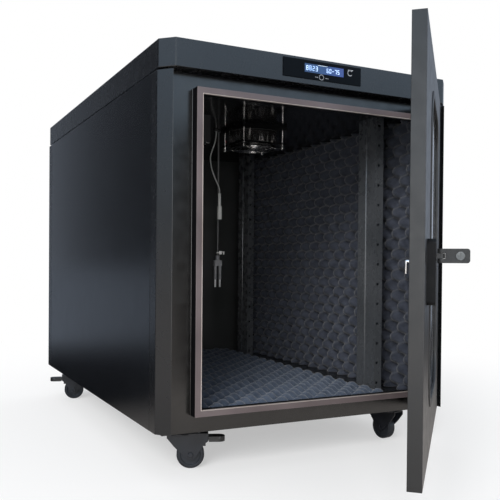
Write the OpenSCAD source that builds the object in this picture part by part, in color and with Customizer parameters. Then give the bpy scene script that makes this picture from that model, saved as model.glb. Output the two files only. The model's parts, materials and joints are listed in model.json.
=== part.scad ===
// Soundproof rack cabinet on four braked casters.
// X runs to the right, Y to the rear and Z up. The origin is the middle of the base's underside.

/* [Cabinet] */
// Overall width of the body
body_w = 660; // [640:1:700]
// Overall depth of the body
body_d = 960; // [900:1:1000]
// Height from the underside of the base to the top of the roof cap
body_h = 700; // [690:1:720]
// Height of the roof cap
cap_h = 51; // [45:1:60]
// Shadow gap between the body and the roof cap
cap_gap = 4; // [3:1:6]
// Width of the chamfer on the front corners
chamfer_x = 22; // [16:1:24]
// Depth of the chamfer on the front corners
chamfer_y = 24; // [16:1:26]
// Sheet metal thickness of posts, base and cap
sheet = 2; // [1.5:0.5:2]

/* [Front opening] */
// Depth of the front frame's face behind the front corners
frame_recess = 28; // [26:1:32]
// Clear width of the opening
opening_w = 498; // [480:1:500]
// Lower edge of the opening
opening_z0 = 38; // [30:1:40]
// Upper edge of the opening
opening_z1 = 609.5; // [590:0.5:612]
// Width of the raised lip that carries the gasket
lip_w = 11; // [10:1:15]
// Height of the lip in front of the frame
lip_out = 20; // [16:1:20]

/* [Door] */
// Width of the door
door_w = 607; // [600:1:610]
// Height of the door
door_h = 644; // [640:1:644]
// Thickness of the door
door_t = 20.6; // [18:0.1:22]
// Sheet metal thickness of the door
door_sheet = 1.5; // [1:0.5:2]
// Angle that the door stands open
door_open = 46.08; // [0:0.01:110]
// Clear width of the window
window_w = 270; // [200:1:300]
// Clear height of the window
window_h = 486; // [300:1:500]
// Corner radius of the window
window_r = 50; // [20:1:60]
// Height of the window's centre
window_z = 330; // [320:1:335]

/* [Handle] */
// Distance of the spindle from the door's free edge
spindle_inset = 75; // [74:1:80]
// Height of the spindle
spindle_z = 318; // [300:1:330]
// Reach of the lever in front of the door
lever_reach = 58; // [50:1:80]
// Width of the lever
lever_w = 20.5; // [16:0.5:22]

/* [Rack] */
// Distance between the mounting hole rows of the 19-inch uprights
rack_holes = 465.1; // [465.1]
// Height of one rack unit
rack_unit = 44.45; // [44.45]
// Number of rack units
rack_units = 14; // [12:1:14]
// Depth of each upright
upright_d = 66; // [60:1:80]

/* [Fan] */
// Side of the fan's square frame
fan_size = 120; // [120]
// Sideways place of the fan's centre
fan_x = 50; // [40:1:60]
// Fore and aft place of the fan's centre
fan_y = -95; // [-100:1:-90]

/* [Casters] */
// Wheel diameter
wheel_d = 53; // [48:0.5:54]
// Wheel width
wheel_w = 20; // [18:1:22]
// Distance of the wheel's axle behind the king pin
trail = 22; // [18:1:24]
// Sideways distance of each king pin from the middle
caster_x = 254; // [240:1:260]
// Fore and aft distance of each king pin from the middle
caster_y = 381; // [370:1:390]
// Height of the base above the ground
ground_gap = 87; // [85:1:90]

/* [Hidden] */

$fn = 48;

half_w = body_w / 2;
half_d = body_d / 2;
body_top = body_h - cap_h - cap_gap;
cap_z = body_h - cap_h;
cap_inset = 2;
frame_y = -half_d + frame_recess;
frame_half = half_w - chamfer_x;
opening_half = opening_w / 2;
lip_half = opening_half + lip_w;
lip_y = frame_y - lip_out;
gasket_t = 2;
panel_t = 1.5;
panel_flange = 12;
seam = 0.4;
post_leg = 40;
panel_y0 = -half_d + chamfer_y + 31 + seam;
panel_y1 = half_d - post_leg - seam;
rear_half = half_w - post_leg - seam;
tray_half = half_w - panel_flange;
rib_y = 290;
rib_w = 20;
base_half_x = 200;
base_half_y = 250;
base_lap = 15;
entry_x = -200;
entry_z = 60;
entry_r = 20;
outlet_half = 115;
outlet_edge = 8;
outlet_h = 42;
outlet_slot = 26;
outlet_pitch = 10.5;
outlet_t = 2;
vent_z = cap_z + 26;
inlet_x = -210;
inlet_z = vent_z;
inlet_w = 28;
inlet_h = 20;
inlet_depth = 22;
inlet_well = 14;
bezel_half = 89;
bezel_t = 2;
bezel_z0 = body_h - 40.5;
bezel_z1 = body_h - 5;
lcd_x0 = -42;
lcd_x1 = 48;
lcd_z0 = body_h - 28;
lcd_z1 = body_h - 11;

floor_z = 14;
floor_t = 2;
ceiling_z = 636;
ceiling_half = 314;
cap_flange = 28;
wall_y = half_d - 30;
liner_t = 3;
foam_back = half_w - panel_t - 0.5;
foam_face = 295;
foam_rear = 393;
floor_foam_h = 20;
floor_foam_w = 420;

hinge_x = 294;
hinge_y = -half_d + 8;
hinge_zs = [75, 570];
hinge_pin_r = 3;
knuckle_r = 5;
knuckle_h = 16;
leaf_w = 24;
leaf_half = 12;
leaf_ear = 3.7;
running = 0.05;

door_half = door_w / 2;
door_z = 0.4;
door_face = -half_d;
door_back = door_face + door_t;
door_inner = door_face + door_sheet;
liner_face = lip_y - gasket_t - 0.3;
trim_w = 12;
trim_t = 2;
glass_t = 5;
glass_y = door_inner + 1;
retainer_w = 8;
pan_flange = 11;
liner_gap = 13;
retainer_gap = 22;

spindle_x = -door_half + spindle_inset;
spindle_r = 5.95;
escutcheon_t = 12;
fold_y = door_face - escutcheon_t - 7;
lever_t = 11;
tongue_r = 5;
tongue_half = 3.5;
fold_pin_r = 2;
cam_y = -466;
cam_t = 4;
cam_w = 9;
hook_r = 2.2;
hook_y = -450.4;
hook_drop = 8;
hook_reach = 26;
slot_y0 = -454;
slot_y1 = -446.8;
keeper_back = 12;
keeper_edge = 12;
slot_below = 20;
slot_above = 3.5;
keeper_t = 1.5;
lever_corner = 4;
escutcheon_w = 28;
escutcheon_h = 94.5;
escutcheon_drop = 23;
apron = 5;
plug_r = 6;
plug_out = 7;
plug_deep = 9.5;
escutcheon_r = 6;
hub_gap = 0.2;
plug_y = door_face - 45;

rail_web = 225;
rail_flange = 20;
rail_t = 2;
rack_hole_r = 3.25;
bead_r = 3;
bead_back = 37;
front_rail_y = -356;
rear_rail_y = 272;

fan_guard_z = 584;
fan_gasket_t = 6;
fan_depth = 38;
fan_top = ceiling_z - fan_gasket_t;
fan_bottom = fan_top - fan_depth;
fan_hole_pitch = 105;
fan_hole_r = 2.2;
fan_flange_t = 4;
fan_wall = 3.5;
motor_seat_r = 22;
motor_seat_t = 6;
strut_w = 4;
rotor_pin_r = 2;
hub_r = 21;
blade_count = 7;
blade_tilt = 38;
blade_t = 1.8;
fan_opening_r = 57;
guard_rings = [22, 33, 44, 55];
guard_eye_r = 5;
guard_hub_r = 14;
screw_head_r = 4;
screw_head_h = 2.4;
rotor_z0 = fan_bottom + 3;
rotor_h = 24;

rail_h = 13;
rail_half = 305;
rail_w = 84;
plate_t = 2.5;
wheel_r = wheel_d / 2;
axle_z = -ground_gap + wheel_r;
crown_z = -rail_h - plate_t - 4;
crown_t = 2.5;
cheek_in = wheel_w / 2 + 1;
cheek_t = 2.5;
axle_r = 3;
king_r = 5;
pedal_u = 49;
pedal_z = -31;
pedal_up = 5;
tread_u = 57;
tread_end = 88;
tread_w = 24;
shoe_back = 4;
shoe_drop = 13;
fork_back = -23;
fork_front = 56;
plate_x = 76;
plate_y = 64;
king_race_r = 20;
race_t = 3.8;
race_gap = 0.3;
king_nut_r = 9;
king_nut_h = 3.2;
brake_pin_r = 1.5;
brake_hub_r = 4;
hub_dish_r = 19;
hub_boss_r = 7;
tyre_step = 2;

caster_places = [[-caster_x, -caster_y, -22], [caster_x, -caster_y, 98],
    [-caster_x, caster_y, 167], [caster_x, caster_y, 84]];

// Routes of the two free leads that hang from the ceiling, top to bottom
gland_drop = 4;
sensor_route = [[-26, -40, 632], [-26, -40, 622], [-28.5, -38.8, 604], [-34, -36, 586], [-38, -34, 568],
    [-37, -34.5, 550], [-33, -36.5, 532], [-27, -39.5, 514], [-20, -42.5, 498], [-17, -44, 486], [-17, -44, 478]];
power_route = [[-14, -29, 632], [-14, -29, 600], [-14, -29, 570], [-14, -29, 540], [-14, -29, 510],
    [-14, -29, 480], [-14, -29, 450], [-14, -29, 420], [-14, -29, 390], [-14, -29, 360], [-14, -29, 324]];
sensor_lead_d = 3;
power_lead_d = 4;

wiring_lo = [-165, -190, 576];
wiring_hi = [-108, -120, ceiling_z];
wiring_gland_zs = [585, 624];
wiring_gland_y = -155;
gland_nut_r = 9;
gland_nut_h = 4;
gland_r = 6;
gland_out = 12;
lamp_at = [39, -28];
lamp_tip_z = 610;
lamp_base_z = 618;
lamp_r = 4;
lamp_nut_r = 6;
cord_gland_r = 5;

connector_len = 64;
connector_barrel = 32;
connector_r = 3.5;
connector_w = 9;
connector_d = 7;
plug_neck = 12;
plug_neck_r = 5;
plug_body = [20, 9, 14];
plug_leg = 34;
plug_leg_r = 3.6;
plug_leg_x = 6.35;
plug_pin = 19;
plug_pin_r = 2.4;

board_x = 70;
board_y0 = -430;
board_y1 = -340;
board_gap = 5;
board_t = 1.6;

black = [0.07, 0.07, 0.08];
dark = [0.12, 0.12, 0.13];
slate = [0.2, 0.22, 0.27];
zinc = [0.75, 0.76, 0.78];

// ---------- Helpers ----------

// Places a part of the door, drawn closed, at the angle where the door stands
module on_door() {
    translate([hinge_x, hinge_y, 0]) rotate([0, 0, door_open]) translate([-hinge_x, -hinge_y, 0])
        children();
}

// Draws a shape and its mirror image on the other side of the cabinet
module both_sides() {
    children();
    mirror([1, 0, 0]) children();
}

// A box given by its two corners
module block(lo, hi) {
    translate(lo) cube(hi - lo);
}

// A rectangle with round corners, centred, in the X-Z plane, extruded along Y
module rounded_plate(w, h, r, y0, y1, zc) {
    translate([0, y1, zc]) rotate([90, 0, 0]) linear_extrude(y1 - y0) rounded_rect(w, h, r);
}

module rounded_rect(w, h, r) {
    square([w - 2 * r, h], center = true);
    square([w, h - 2 * r], center = true);
    for (sx = [-1, 1], sz = [-1, 1])
        translate([sx * (w / 2 - r), sz * (h / 2 - r)]) circle(r);
}

// A rod along Y
module rod_y(x, z, r, y0, y1) {
    translate([x, y1, z]) rotate([90, 0, 0]) cylinder(r = r, h = y1 - y0);
}

// Plan outline of the roof cap, with its two front chamfers
module cap_outline(inset) {
    w = half_w - cap_inset - inset;
    cut = inset * 0.42;
    polygon([[-w, half_d - inset], [-w, -half_d + chamfer_y + cut],
        [-w + chamfer_x + 2 - cut, -half_d + inset], [w - chamfer_x - 2 + cut, -half_d + inset],
        [w, -half_d + chamfer_y + cut], [w, half_d - inset]]);
}

// Places a caster part: u points from the king pin to the wheel, v along the axle
module at_caster(i) {
    p = caster_places[i];
    translate([p[0], p[1], 0]) rotate([0, 0, p[2]]) children();
}

function sub(a, b) = [a[0] - b[0], a[1] - b[1], a[2] - b[2]];
function unit(a) = a / norm(a);

// Direction of a route at point i
function heading(route, i) = unit(sub(route[min(i + 1, len(route) - 1)], route[max(i - 1, 0)]));

// One ring of a tube, square to the route
function ring(route, i, r, sides) =
    let (t = heading(route, i), u = unit(cross(t, [0, 1, 0])), v = cross(t, u))
    [for (k = [0 : sides - 1]) let (a = 360 * k / sides) route[i] + r * (cos(a) * u + sin(a) * v)];

// Catmull-Rom point between the middle two of four points
function spline(a, b, c, d, t) =
    0.5 * ((2 * b) + (c - a) * t + (2 * a - 5 * b + 4 * c - d) * t * t + (3 * b - a - 3 * c + d) * t * t * t);

// A route made smooth by a given number of steps between its points
function smooth(p, steps) = concat([for (i = [0 : len(p) - 2], k = [0 : steps - 1])
    spline(p[max(i - 1, 0)], p[i], p[i + 1], p[min(i + 2, len(p) - 1)], k / steps)], [p[len(p) - 1]]);

// A tube swept along a route as one closed solid
module tube(route, r, sides) {
    n = len(route);
    points = [for (i = [0 : n - 1]) each ring(route, i, r, sides)];
    sides_faces = [for (i = [0 : n - 2], k = [0 : sides - 1])
        [i * sides + k, (i + 1) * sides + k, (i + 1) * sides + (k + 1) % sides, i * sides + (k + 1) % sides]];
    start = [for (k = [0 : sides - 1]) k];
    end = [for (k = [sides - 1 : -1 : 0]) (n - 1) * sides + k];
    polyhedron(points = points, faces = concat([start], sides_faces, [end]));
}

// ---------- Body ----------

// Bottom tray with a turned-up edge and an opening for the base plate
module base_frame() {
    color(black) difference() {
        union() {
            block([-tray_half, frame_y + sheet, 0], [tray_half, wall_y + liner_t, sheet]);
            both_sides()
                block([-tray_half, frame_y + sheet, sheet], [-tray_half + sheet, wall_y + liner_t, floor_z]);
            for (y = [frame_y + sheet, wall_y + liner_t - sheet])
                block([-tray_half + sheet, y, sheet], [tray_half - sheet, y + sheet, floor_z]);
            for (y = [-rib_y - rib_w, rib_y])
                block([-tray_half + sheet, y, sheet], [tray_half - sheet, y + rib_w, floor_z]);
        }
        block([-base_half_x - seam, -base_half_y - seam, -1], [base_half_x + seam, base_half_y + seam, sheet + 1]);
    }
}

// Removable plate in the middle of the base, with air slots along both long sides
module base_plate() {
    color(dark) difference() {
        union() {
            block([-base_half_x, -base_half_y, 0], [base_half_x, base_half_y, sheet]);
            block([-base_half_x - base_lap, -base_half_y - base_lap, sheet], [base_half_x + base_lap, base_half_y + base_lap, sheet + panel_t]);
        }
        for (sx = [-1, 1], i = [-6 : 6])
            translate([sx * 150, i * 34, 2]) cube([60, 8, 10], center = true);
    }
}

// Inner floor, with an air slot row in each bare strip beside the foam
module floor_panel() {
    color(dark) difference() {
        block([-tray_half, frame_y + sheet, floor_z], [tray_half, wall_y, floor_z + floor_t]);
        for (sx = [-1, 1], i = [-7 : 7])
            translate([sx * 252, i * 50, floor_z]) cube([18, 30, 10], center = true);
    }
}

// Chamfered corner post: side leg, chamfer and the wall of the door recess
module front_posts() {
    slope = chamfer_y / chamfer_x;
    gap = sheet * sqrt(1 + slope * slope);
    color(black) both_sides() linear_extrude(body_top) polygon([
        [-half_w, -half_d + chamfer_y + 31], [-half_w, -half_d + chamfer_y],
        [-frame_half, -half_d], [-frame_half, frame_y],
        [-frame_half - sheet, frame_y], [-frame_half - sheet, -half_d + gap + sheet * slope],
        [-half_w + sheet, -half_d + chamfer_y + gap - sheet * slope],
        [-half_w + sheet, -half_d + chamfer_y + 31]]);
}

// Angle posts at the two rear corners
module rear_posts() {
    color(black) both_sides() linear_extrude(body_top) polygon([
        [-half_w, half_d], [-half_w, half_d - post_leg], [-half_w + sheet, half_d - post_leg],
        [-half_w + sheet, half_d - sheet], [-half_w + post_leg, half_d - sheet], [-half_w + post_leg, half_d]]);
}

// Front frame between the posts, with the raised lip round the opening and a notch for the latch hook
module front_frame() {
    color(black) difference() {
        union() {
            block([-frame_half, frame_y, -apron], [frame_half, frame_y + sheet, body_top]);
            block([-lip_half, lip_y, opening_z0 - lip_w], [lip_half, frame_y, opening_z1 + lip_w]);
        }
        block([-opening_half, lip_y - 1, opening_z0], [opening_half, frame_y + sheet + 1, opening_z1]);
        lip_channel();
        block([-opening_half - sheet - 1, slot_y0, spindle_z - slot_below],
            [-opening_half + 1, frame_y + sheet + 1, spindle_z + slot_above]);
    }
}

// Hollow behind the lip, which leaves it as a bent channel
module lip_channel() {
    difference() {
        block([-lip_half + sheet, lip_y + sheet, opening_z0 - lip_w + sheet],
            [lip_half - sheet, frame_y + sheet + 1, opening_z1 + lip_w - sheet]);
        block([-opening_half - sheet, lip_y - 1, opening_z0 - sheet],
            [opening_half + sheet, frame_y + sheet + 2, opening_z1 + sheet]);
    }
}

// Rubber seal on the face of the lip
module door_gasket() {
    color([0.42, 0.36, 0.37]) difference() {
        block([-lip_half, lip_y - gasket_t, opening_z0 - lip_w], [lip_half, lip_y, opening_z1 + lip_w]);
        block([-opening_half, lip_y - gasket_t - 1, opening_z0], [opening_half, lip_y + 1, opening_z1]);
    }
}

// Left side panel, turned in along its top and bottom edges
module side_panel() {
    difference() {
        block([-half_w, panel_y0, 0], [-half_w + panel_flange, panel_y1, body_top]);
        block([-half_w + panel_t, panel_y0 - 1, panel_t],
            [-half_w + panel_flange + 1, panel_y1 + 1, body_top - panel_t]);
    }
}

module left_side_panel() {
    color(black) side_panel();
}

module right_side_panel() {
    color(black) mirror([1, 0, 0]) side_panel();
}

// Rear panel with turned-in edges and a round cable entry
module rear_panel() {
    color(black) difference() {
        block([-rear_half, wall_y + liner_t + 0.2, 0], [rear_half, half_d, body_top]);
        block([-rear_half + panel_t, wall_y, panel_t], [rear_half - panel_t, half_d - panel_t, body_top - panel_t]);
        rod_y(entry_x, entry_z, entry_r, wall_y, half_d + 1);
    }
}

// Smooth inner lining of the rear wall
module rear_liner() {
    color(dark) difference() {
        block([-frame_half, wall_y, floor_z], [frame_half, wall_y + liner_t, ceiling_z - 0.3]);
        rod_y(entry_x, entry_z, entry_r + 8, wall_y - 1, wall_y + liner_t + 1);
    }
}

// Ceiling tray whose turned-up edge carries the roof cap
module ceiling_panel() {
    color(dark) difference() {
        block([-ceiling_half, frame_y + sheet, ceiling_z], [ceiling_half, wall_y + sheet, cap_z]);
        block([-ceiling_half + sheet, frame_y + 2 * sheet, ceiling_z + sheet],
            [ceiling_half - sheet, wall_y, cap_z + 1]);
        translate([fan_x, fan_y, ceiling_z - 1]) cylinder(r = fan_opening_r, h = sheet + 2);
    }
}

// Roof cap: a hollow hood with a turned-in lower edge
module roof_cap() {
    color(black) difference() {
        translate([0, 0, cap_z]) linear_extrude(cap_h) cap_outline(0);
        translate([0, 0, cap_z + sheet]) linear_extrude(cap_h - 2 * sheet) cap_outline(sheet);
        block([-half_w + cap_flange + cap_inset, -half_d + cap_flange, cap_z - 1],
            [half_w - cap_flange - cap_inset, half_d - cap_flange, cap_z + sheet + 1]);
        block([lcd_x0 - 3, -half_d - 1, lcd_z0 - 3], [lcd_x1 + 3, -half_d + sheet + 1, lcd_z1 + 3]);
        block([-outlet_half, half_d - sheet - 1, vent_z - outlet_slot / 2 - 1],
            [outlet_half, half_d + 1, vent_z + outlet_slot / 2 + 1]);
        block([inlet_x - inlet_w / 2 - 0.2, half_d - sheet - 1, inlet_z - inlet_h / 2 - 0.2],
            [inlet_x + inlet_w / 2 + 0.2, half_d + 1, inlet_z + inlet_h / 2 + 0.2]);
    }
}

// Slotted outlet behind the roof cap
module outlet_grille() {
    color(dark) difference() {
        block([-outlet_half - outlet_edge, half_d, vent_z - outlet_h / 2],
            [outlet_half + outlet_edge, half_d + outlet_t, vent_z + outlet_h / 2]);
        for (i = [-10 : 10])
            translate([i * outlet_pitch, half_d + outlet_t / 2, vent_z]) cube([6, 6, outlet_slot], center = true);
    }
}

// Mains inlet socket in the rear of the roof cap
module power_inlet() {
    color([0.03, 0.03, 0.03]) difference() {
        union() {
            block([inlet_x - inlet_w / 2, half_d - inlet_depth, inlet_z - inlet_h / 2],
                [inlet_x + inlet_w / 2, half_d, inlet_z + inlet_h / 2]);
            block([inlet_x - inlet_w / 2 - 10, half_d, inlet_z - inlet_h / 2 - 4],
                [inlet_x + inlet_w / 2 + 10, half_d + outlet_t, inlet_z + inlet_h / 2 + 4]);
        }
        block([inlet_x - inlet_w / 2 + 2, half_d - inlet_well, inlet_z - inlet_h / 2 + 2],
            [inlet_x + inlet_w / 2 - 2, half_d + 3, inlet_z + inlet_h / 2 - 2]);
    }
    color(zinc) for (dx = [-7, 0, 7])
        block([inlet_x + dx - 1, half_d - inlet_well, inlet_z - 2], [inlet_x + dx + 1, half_d - 2, inlet_z + 2]);
}

// Gloss strip on the front of the roof cap
module display_bezel() {
    color([0.02, 0.02, 0.02]) difference() {
        block([-bezel_half, -half_d - bezel_t, bezel_z0], [bezel_half, -half_d, bezel_z1]);
        block([lcd_x0, -half_d - bezel_t - 1, lcd_z0], [lcd_x1, -half_d + 1, lcd_z1]);
    }
}

// Backlit display in the strip's window, on its own board
module lcd_module() {
    color([0.1, 0.35, 0.9])
        block([lcd_x0 + 0.2, -half_d - bezel_t + 0.6, lcd_z0 + 0.2], [lcd_x1 - 0.2, -half_d + 4, lcd_z1 - 0.2]);
    color([0.05, 0.3, 0.12])
        block([lcd_x0 - 18, -half_d + 4, lcd_z0 - 8], [lcd_x1 + 18, -half_d + 5.6, lcd_z1 + 4]);
}

// Control board on four spacers above the ceiling
module controller_board() {
    board_z = ceiling_z + sheet + board_gap;
    inset = 6;
    part_w = 22;
    color([0.05, 0.3, 0.12]) block([-board_x, board_y0, board_z], [board_x, board_y1, board_z + board_t]);
    color(zinc) for (x = [-board_x + inset, board_x - inset], y = [board_y0 + inset, board_y1 - inset])
        translate([x, y, ceiling_z + sheet]) cylinder(r = 3, h = board_gap);
    color(dark) for (x = [-50, -10, 30])
        block([x, board_y0 + 30, board_z + board_t], [x + part_w, board_y1 - 30, board_z + 14]);
}

// ---------- Rack ----------

// One upright: a web with a stiffening bead, a flange with a hole for each rack unit and a return
module upright(y0) {
    z0 = floor_z + floor_t;
    hole_x = rack_holes / 2;
    difference() {
        union() {
            block([rail_web, y0, z0], [rail_web + rail_t, y0 + upright_d, ceiling_z]);
            block([rail_web + rail_t, y0, z0], [rail_web + rail_flange, y0 + rail_t, ceiling_z]);
            block([rail_web + rail_t, y0 + upright_d - rail_t, z0],
                [rail_web + rail_flange, y0 + upright_d, ceiling_z]);
            translate([rail_web + 0.5, y0 + bead_back, z0]) cylinder(r = bead_r, h = ceiling_z - z0, $fn = 24);
        }
        for (i = [0 : rack_units - 1])
            rod_y(hole_x, z0 + rack_unit / 2 + i * rack_unit, rack_hole_r, y0 - 1, y0 + rail_t + 1);
    }
}

module front_uprights() {
    color(dark) both_sides() upright(front_rail_y);
}

module rear_uprights() {
    color(dark) both_sides() upright(rear_rail_y);
}

// ---------- Foam ----------

module floor_foam() {
    color(slate) block([-floor_foam_w / 2, -430, floor_z + floor_t],
        [floor_foam_w / 2, 400, floor_z + floor_t + floor_foam_h]);
}

module wall_foams() {
    color(slate) both_sides()
        block([-foam_back, frame_y + sheet + 1, floor_z + floor_t + 1], [-foam_face, foam_rear, ceiling_z - 1]);
}

// ---------- Fan ----------

// Square flanges, round body, four struts and the motor seat, with its rubber mounting ring
module fan_frame() {
    r_in = fan_size / 2 - fan_wall;
    color(dark) translate([fan_x, fan_y, 0]) difference() {
        union() {
            translate([0, 0, fan_bottom]) cylinder(r = fan_size / 2 - 1, h = fan_depth);
            for (z = [fan_bottom, fan_top - fan_flange_t])
                translate([0, 0, z + fan_flange_t / 2]) cube([fan_size, fan_size, fan_flange_t], center = true);
            translate([0, 0, fan_top + fan_gasket_t / 2])
                cube([fan_size, fan_size, fan_gasket_t], center = true);
        }
        difference() {
            translate([0, 0, fan_bottom - 1]) cylinder(r = r_in, h = fan_depth + fan_gasket_t + 2);
            translate([0, 0, fan_top - motor_seat_t]) cylinder(r = motor_seat_r, h = motor_seat_t);
            for (a = [45 : 90 : 315]) rotate([0, 0, a])
                translate([motor_seat_r - 2, -strut_w / 2, fan_top - motor_seat_t]) cube([r_in, strut_w, motor_seat_t]);
            translate([0, 0, rotor_z0 + 2]) cylinder(r = rotor_pin_r, h = fan_top - motor_seat_t - rotor_z0);
        }
        for (x = [-1, 1], y = [-1, 1])
            translate([x, y, 0] * fan_hole_pitch / 2 + [0, 0, fan_bottom - 1])
                cylinder(r = fan_hole_r, h = fan_depth + fan_gasket_t + 2);
    }
}

// Hub with seven slanted blades
module fan_rotor() {
    color([0.09, 0.09, 0.1]) translate([fan_x, fan_y, rotor_z0]) difference() {
        union() {
            cylinder(r = hub_r, h = rotor_h);
            intersection() {
                cylinder(r = fan_size / 2 - fan_wall - 2, h = rotor_h);
                for (i = [0 : blade_count - 1]) rotate([0, 0, i * 360 / blade_count])
                    translate([37, 0, rotor_h / 2]) rotate([blade_tilt, 0, 0]) cube([38, blade_t, 34], center = true);
            }
        }
        translate([0, 0, 1]) cylinder(r = rotor_pin_r + running, h = rotor_h);
    }
}

// Wire finger guard with four mounting eyes
module fan_guard() {
    wire = 1;
    z = fan_guard_z + wire;
    reach = fan_hole_pitch / sqrt(2);
    color(zinc) translate([fan_x, fan_y, z]) {
        difference() {
            union() {
                for (r = guard_rings) rotate_extrude() translate([r, 0.6]) circle(wire, $fn = 16);
                for (a = [45 : 90 : 315]) rotate([0, 0, a]) {
                    translate([13, 0, 0]) rotate([0, 90, 0]) cylinder(r = wire, h = reach - 16, $fn = 16);
                    translate([reach, 0, -wire]) cylinder(r = guard_eye_r, h = fan_bottom - fan_guard_z);
                }
                translate([0, 0, -wire]) cylinder(r = guard_hub_r, h = 1.6);
            }
            for (a = [45 : 90 : 315]) rotate([0, 0, a]) translate([reach, 0, -3]) cylinder(r = fan_hole_r, h = 14);
        }
    }
}

// Four long screws through guard and fan
module fan_screws() {
    color(zinc) translate([fan_x, fan_y, 0]) for (x = [-1, 1], y = [-1, 1])
        translate([x, y, 0] * fan_hole_pitch / 2) {
            translate([0, 0, fan_guard_z - screw_head_h]) cylinder(r = screw_head_r, h = screw_head_h);
            translate([0, 0, fan_guard_z]) cylinder(r = 2, h = ceiling_z - fan_guard_z);
        }
}

// Wiring box under the ceiling, with two metal glands in its side
module junction_box() {
    color(dark) block(wiring_lo, wiring_hi);
    color(zinc) for (z = wiring_gland_zs)
        translate([wiring_hi[0], wiring_gland_y, z]) rotate([0, 90, 0]) {
            cylinder(r = gland_nut_r, h = gland_nut_h, $fn = 6);
            cylinder(r = gland_r, h = gland_out);
        }
}

// Red pilot lamp on a short stalk
module indicator_lamp() {
    color(dark) translate([lamp_at[0], lamp_at[1], lamp_base_z])
        cylinder(r = lamp_nut_r, h = ceiling_z - lamp_base_z);
    color([0.8, 0.02, 0.02]) translate([lamp_at[0], lamp_at[1], lamp_tip_z])
        cylinder(r = lamp_r, h = lamp_base_z - lamp_tip_z);
}

// Two cord glands in the ceiling
module cable_glands() {
    color(dark) for (g = [[sensor_route[0], sensor_lead_d], [power_route[0], power_lead_d]])
        translate([g[0][0], g[0][1], ceiling_z - gland_drop]) cylinder(r = cord_gland_r, h = gland_drop);
}

module sensor_lead() {
    color([0.6, 0.6, 0.6]) tube(smooth(sensor_route, 3), sensor_lead_d / 2, 8);
}

// White in-line connector at the end of the sensor lead
module sensor_connector() {
    p = sensor_route[len(sensor_route) - 1];
    color([0.85, 0.85, 0.82]) translate([p[0], p[1], p[2] - connector_len]) {
        translate([0, 0, connector_len - connector_barrel]) cylinder(r = connector_r, h = connector_barrel);
        translate([-connector_w / 2, -connector_d / 2, 0])
            cube([connector_w, connector_d, connector_len - connector_barrel]);
    }
}

module power_lead() {
    color([0.25, 0.25, 0.25]) tube(smooth(power_route, 2), power_lead_d / 2, 8);
}

// Two-legged plug with a bright pin on each leg
module power_plug() {
    p = power_route[len(power_route) - 1];
    body_z = -plug_neck - plug_body[2];
    color([0.35, 0.35, 0.36]) translate(p) {
        translate([0, 0, -plug_neck]) cylinder(r = plug_neck_r, h = plug_neck);
        translate([-plug_body[0] / 2, -plug_body[1] / 2, body_z]) cube(plug_body);
        for (s = [-1, 1]) translate([s * plug_leg_x, 0, body_z - plug_leg]) cylinder(r = plug_leg_r, h = plug_leg);
    }
    color(zinc) translate(p) for (s = [-1, 1])
        translate([s * plug_leg_x, 0, body_z - plug_leg - plug_pin]) cylinder(r = plug_pin_r, h = plug_pin);
}

// ---------- Door hardware on the frame ----------

// Two hinge lugs on the frame, each with a bored knuckle
module frame_hinges() {
    color(dark) for (z = hinge_zs) difference() {
        union() {
            block([hinge_x - leaf_w, frame_y - 3, z - 20], [hinge_x + 6, frame_y, z + 20]);
            block([hinge_x - knuckle_r, hinge_y, z - knuckle_h / 2], [hinge_x + 1.5, frame_y - 3, z + knuckle_h / 2]);
            translate([hinge_x, hinge_y, z - knuckle_h / 2]) cylinder(r = knuckle_r, h = knuckle_h);
        }
        translate([hinge_x, hinge_y, z - knuckle_h / 2 - 1]) cylinder(r = hinge_pin_r + running, h = knuckle_h + 2);
    }
}

// Strike plate on the left jamb, with the slot that the hook turns into
module latch_keeper() {
    color(zinc) difference() {
        block([-opening_half, lip_y + 2, spindle_z - slot_below - keeper_edge],
            [-opening_half + keeper_t, frame_y + keeper_back, spindle_z + slot_above + keeper_edge]);
        block([-opening_half - 1, slot_y0, spindle_z - slot_below],
            [-opening_half + keeper_t + 1, slot_y1, spindle_z + slot_above]);
    }
}

// ---------- Door ----------

// Outer pan with turned-in rear edges, the window opening and clearance at the hinges
module door_pan() {
    color(black) on_door() difference() {
        block([-door_half, door_face, door_z], [door_half, door_back, door_z + door_h]);
        block([-door_half + door_sheet, door_inner, door_z + door_sheet],
            [door_half - door_sheet, door_back - door_sheet, door_z + door_h - door_sheet]);
        block([-door_half + pan_flange, door_inner, door_z + pan_flange],
            [door_half - door_sheet, door_back + 1, door_z + door_h - pan_flange]);
        rounded_plate(window_w + trim_w, window_h + trim_w, window_r + trim_w / 2,
            door_face - 1, door_inner + 1, window_z);
        rod_y(spindle_x, spindle_z, spindle_r + 1.05, door_face - 1, door_inner + 1);
        for (z = hinge_zs)
            block([hinge_x + 6, door_inner, z - leaf_half + 1], [door_half + 1, door_back + 1, z + leaf_half - 1]);
    }
}

// Damping sheet on the inside of the pan
module door_liner() {
    color(dark) on_door() difference() {
        block([-door_half + liner_gap, door_inner, door_z + liner_gap + 2],
            [hinge_x - leaf_w - 3, liner_face, door_z + door_h - liner_gap - 2]);
        rounded_plate(window_w + 2 * retainer_gap, window_h + 2 * retainer_gap, window_r + retainer_gap,
            door_inner - 1, liner_face + 1, window_z);
        rod_y(spindle_x, spindle_z, spindle_r + 4.05, door_inner - 1, liner_face + 1);
    }
}

module window_glass() {
    color([0.2, 0.22, 0.25, 0.5]) on_door()
        rounded_plate(window_w + 10, window_h + 10, window_r + 5, glass_y, glass_y + glass_t, window_z);
}

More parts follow.
